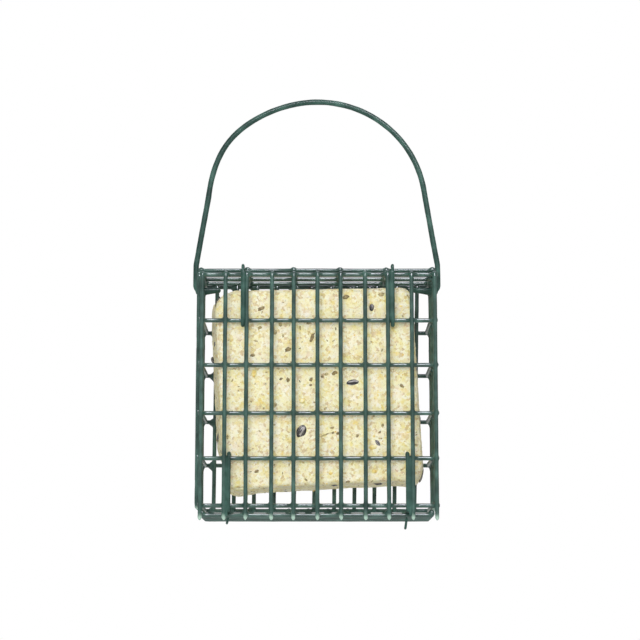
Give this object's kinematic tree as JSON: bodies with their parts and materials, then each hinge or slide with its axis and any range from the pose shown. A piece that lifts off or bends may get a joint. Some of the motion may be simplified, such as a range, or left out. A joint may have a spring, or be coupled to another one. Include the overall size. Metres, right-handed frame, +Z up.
{
  "type": "suet feeder",
  "caption": "Hanging cage feeder of green plastic-coated welded wire with a swinging wire bail, a drop-down latched door and a block of suet inside.",
  "frame": {"origin": "where the feeder hangs: the underside of the bail at the top of its arch", "axes": "+Z up, -Y towards the door, +X to the right of someone facing the door"},
  "size_m": [0.1384, 0.0484, 0.2421],
  "materials": {
    "coated_wire": "glossy dark green plastic dip coat",
    "suet": "pale crumbly suet with seeds and cracked grain"
  },
  "bodies": {
    "bail": {"bail": "coated_wire"},
    "cage": {"back_panel": "coated_wire", "top_panel": "coated_wire", "bottom_panel": "coated_wire", "left_side_panel": "coated_wire", "right_side_panel": "coated_wire", "suet_cake": "suet"},
    "door": {"door_panel": "coated_wire", "hinge_clip_left": "coated_wire", "hinge_clip_right": "coated_wire"},
    "latch_left": {"latch_left": "coated_wire"},
    "latch_right": {"latch_right": "coated_wire"}
  },
  "joints": [
    {"name": "cage_swing", "type": "hinge", "parent": "bail", "child": "cage", "pos_m": [0, 0, -0.1078], "axis": [1, 0, 0], "range_deg": [-60, 60]},
    {"name": "door_hinge", "type": "hinge", "parent": "cage", "child": "door", "pos_m": [0, -0.01905, -0.2343], "axis": [1, 0, 0], "range_deg": [0, 150]},
    {"name": "latch_left_turn", "type": "hinge", "parent": "door", "child": "latch_left", "pos_m": [-0.0409, -0.02175, -0.12845], "axis": [1, 0, 0], "range_deg": [0, 120]},
    {"name": "latch_right_turn", "type": "hinge", "parent": "door", "child": "latch_right", "pos_m": [0.0415, -0.02175, -0.12845], "axis": [1, 0, 0], "range_deg": [0, 120]}
  ]
}
